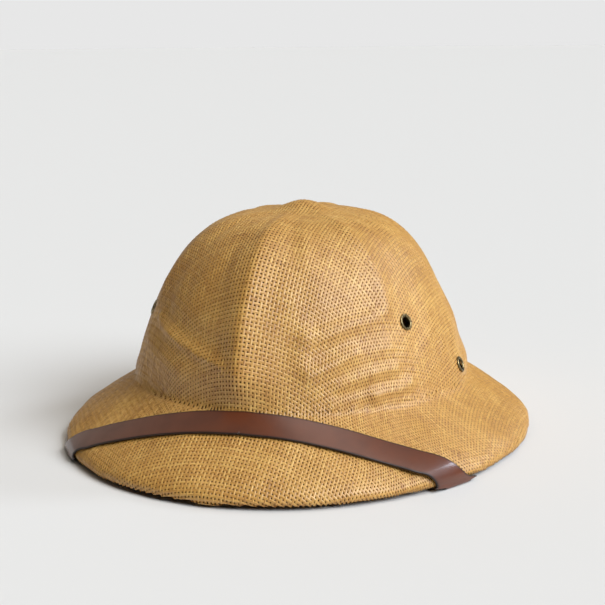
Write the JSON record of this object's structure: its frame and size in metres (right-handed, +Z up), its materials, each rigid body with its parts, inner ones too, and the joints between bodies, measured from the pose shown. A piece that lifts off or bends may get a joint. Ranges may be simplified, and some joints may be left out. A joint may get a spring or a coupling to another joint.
{
  "type": "pith helmet",
  "caption": "Woven straw sun helmet with a six-panel ridged crown, sloping oval brim, leather chin strap laid over the brim and metal vent eyelets.",
  "frame": {"origin": "centre of the hat's bounding box, on the ground that its brim stands on", "axes": "+Z up, -Y to the front of the hat, +X to the wearer's left"},
  "size_m": [0.2888, 0.3228, 0.1441],
  "materials": {
    "straw_shell": "matt woven straw",
    "chin_strap": "smooth semi-gloss",
    "eyelet_left_front": "aged",
    "eyelet_left_rear": "aged",
    "eyelet_right_front": "aged",
    "eyelet_right_rear": "aged"
  },
  "bodies": {
    "root": {"straw_shell": "straw_shell", "chin_strap": "chin_strap", "eyelet_left_front": "eyelet_left_front", "eyelet_left_rear": "eyelet_left_rear", "eyelet_right_front": "eyelet_right_front", "eyelet_right_rear": "eyelet_right_rear"}
  },
  "joints": []
}
